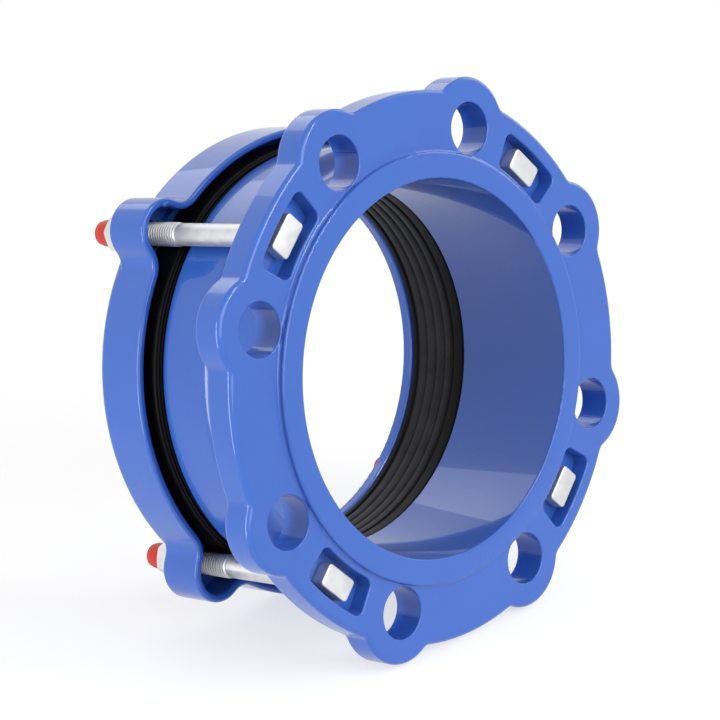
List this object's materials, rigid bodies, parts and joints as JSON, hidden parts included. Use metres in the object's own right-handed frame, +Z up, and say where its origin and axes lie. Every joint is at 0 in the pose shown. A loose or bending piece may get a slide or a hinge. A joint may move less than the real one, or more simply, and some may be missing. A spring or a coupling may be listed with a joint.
{
  "type": "flange adaptor",
  "caption": "Scalloped pipe flange with a barrel and bell, closed by a wedge gasket and a follower ring that T-head bolts and nuts draw onto a plain pipe end.",
  "frame": {"origin": "centre of the flange's sealing face", "axes": "+Y along the pipe axis from the sealing face towards the follower ring, +Z up, +X to the right seen from the flange"},
  "size_m": [0.2726, 0.138, 0.2726],
  "materials": {
    "coated_iron": "glossy blue fusion-bonded coating on cast iron",
    "rubber": "smooth moulded black",
    "zinc_steel": "bright zinc plate",
    "red_plastic": "soft gloss"
  },
  "bodies": {
    "adaptor_body": {"flange_body": "coated_iron", "gasket": "rubber", "t_bolt_1": "zinc_steel", "t_bolt_2": "zinc_steel", "t_bolt_3": "zinc_steel", "t_bolt_4": "zinc_steel"},
    "follower": {"follower_ring": "coated_iron", "washer_1": "zinc_steel", "washer_2": "zinc_steel", "washer_3": "zinc_steel", "washer_4": "zinc_steel"},
    "nut_1": {"hex_nut_1": "zinc_steel"},
    "nut_2": {"hex_nut_2": "zinc_steel"},
    "nut_3": {"hex_nut_3": "zinc_steel"},
    "nut_4": {"hex_nut_4": "zinc_steel"},
    "cap_1": {"thread_cap_1": "red_plastic"},
    "cap_2": {"thread_cap_2": "red_plastic"},
    "cap_3": {"thread_cap_3": "red_plastic"},
    "cap_4": {"thread_cap_4": "red_plastic"}
  },
  "joints": [
    {"name": "follower_slide", "type": "slide", "parent": "adaptor_body", "child": "follower", "axis": [0, -1, 0], "range_m": [0, 0.008], "deforming": ["gasket"]},
    {"name": "nut_turn_1", "type": "hinge", "parent": "follower", "child": "nut_1", "pos_m": [0.08379, 0.1205, 0.08379], "axis": [0, -1, 0], "range_deg": [0, 1650]},
    {"name": "nut_turn_2", "type": "hinge", "parent": "follower", "child": "nut_2", "pos_m": [-0.08379, 0.1205, 0.08379], "axis": [0, -1, 0], "range_deg": [0, 1650]},
    {"name": "nut_turn_3", "type": "hinge", "parent": "follower", "child": "nut_3", "pos_m": [-0.08379, 0.1205, -0.08379], "axis": [0, -1, 0], "range_deg": [0, 1650]},
    {"name": "nut_turn_4", "type": "hinge", "parent": "follower", "child": "nut_4", "pos_m": [0.08379, 0.1205, -0.08379], "axis": [0, -1, 0], "range_deg": [0, 1650]},
    {"name": "cap_pull_1", "type": "slide", "parent": "adaptor_body", "child": "cap_1", "axis": [0, 1, 0], "range_m": [0, 0.012]},
    {"name": "cap_pull_2", "type": "slide", "parent": "adaptor_body", "child": "cap_2", "axis": [0, 1, 0], "range_m": [0, 0.012]},
    {"name": "cap_pull_3", "type": "slide", "parent": "adaptor_body", "child": "cap_3", "axis": [0, 1, 0], "range_m": [0, 0.012]},
    {"name": "cap_pull_4", "type": "slide", "parent": "adaptor_body", "child": "cap_4", "axis": [0, 1, 0], "range_m": [0, 0.012]}
  ],
  "couplings": [
    {"joint": "nut_turn_1", "follows": "follower_slide", "rad_per_m": 3590.4},
    {"joint": "nut_turn_2", "follows": "follower_slide", "rad_per_m": 3590.4},
    {"joint": "nut_turn_3", "follows": "follower_slide", "rad_per_m": 3590.4},
    {"joint": "nut_turn_4", "follows": "follower_slide", "rad_per_m": 3590.4}
  ]
}
